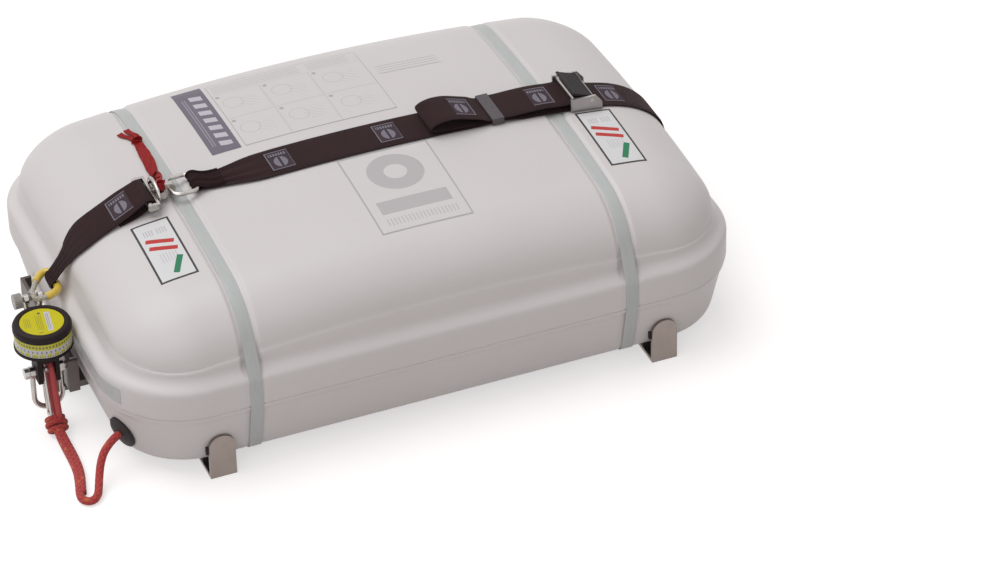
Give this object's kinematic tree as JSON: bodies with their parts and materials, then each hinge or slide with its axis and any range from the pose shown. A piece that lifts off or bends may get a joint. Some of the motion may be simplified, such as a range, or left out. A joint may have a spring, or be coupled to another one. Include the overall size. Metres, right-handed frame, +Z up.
{
  "type": "liferaft canister",
  "caption": "Rectangular white moulded liferaft canister in half shells, held by bursting bands and webbing with a slip hook, hydrostatic release, painter and deck cradle.",
  "frame": {"origin": "centre of the deck bolt pattern, on the deck surface", "axes": "+Z up, +X along the canister from the release unit's end to the buckle's end, -Y towards the side with the painter's outlet"},
  "size_m": [0.82, 0.5041, 0.2362],
  "materials": {
    "shell": "gloss white moulded laminate",
    "rubber": "matt black",
    "band": "pale grey strapping",
    "steel": "bare stainless strip",
    "raft_cover": "coated cloth",
    "cylinder_paint": "paint",
    "brass": "machined",
    "bag_fabric": "coated cloth",
    "rope_red": "braided cover",
    "bolt_steel": "machined",
    "unit_plastic": "satin black",
    "label_yellow": "printed label",
    "label_side": "printed label",
    "polished_steel": "polished stainless",
    "rope_pale": "braided",
    "sleeve_yellow": "translucent tube",
    "webbing": "woven webbing",
    "keeper_plastic": "strip",
    "tape_red": "woven tape",
    "cam_steel": "dark pressed steel"
  },
  "bodies": {
    "canister": {"lower_shell": "shell", "upper_shell": "shell", "rim_seal": "rubber", "burst_band_left": "band", "burst_band_right": "band", "band_crimps": "steel", "raft_pack": "raft_cover", "gas_cylinder": "cylinder_paint", "inflation_head": "brass", "equipment_bag": "bag_fabric", "painter_coil": "rope_red", "painter_grommet": "rubber", "painter_line": "rope_red", "painter_splice": "rope_red", "painter_knot": "rope_red", "cross_rail_left": "steel", "cross_rail_right": "steel", "rail_pads": "rubber", "clip_liners": "rubber", "spine_bar": "steel", "end_bracket_left": "steel", "end_bracket_right": "steel", "bracket_bolts": "bolt_steel", "unit_body": "unit_plastic", "unit_cap": "unit_plastic", "unit_label": "label_yellow", "unit_side_label": "label_side", "unit_block": "unit_plastic", "unit_knife": "bolt_steel", "unit_spring": "bolt_steel", "unit_pin": "bolt_steel", "unit_shackle": "polished_steel", "weak_link": "rope_red", "link_thimble": "polished_steel", "release_rope": "rope_pale", "rope_sleeve": "sleeve_yellow", "upper_shackle": "polished_steel", "upper_shackle_pin": "polished_steel", "strap_short": "webbing", "strap_main": "webbing", "strap_end": "webbing", "strap_keeper": "keeper_plastic", "hook_body": "polished_steel", "hook_tongue": "polished_steel", "hook_link": "polished_steel", "hook_pin": "polished_steel", "lashing_ring": "polished_steel", "seal_tape": "tape_red", "buckle_frame": "polished_steel", "buckle_pin": "bolt_steel"},
    "cam_lever": {"buckle_cam": "cam_steel"}
  },
  "joints": [
    {"name": "cam_hinge", "type": "hinge", "parent": "canister", "child": "cam_lever", "pos_m": [0.262, -0.01, 0.2211], "axis": [0, 1, 0], "range_deg": [0, 40], "stiffness_Nm_per_rad": 0.1, "springref_deg": -17.19}
  ]
}
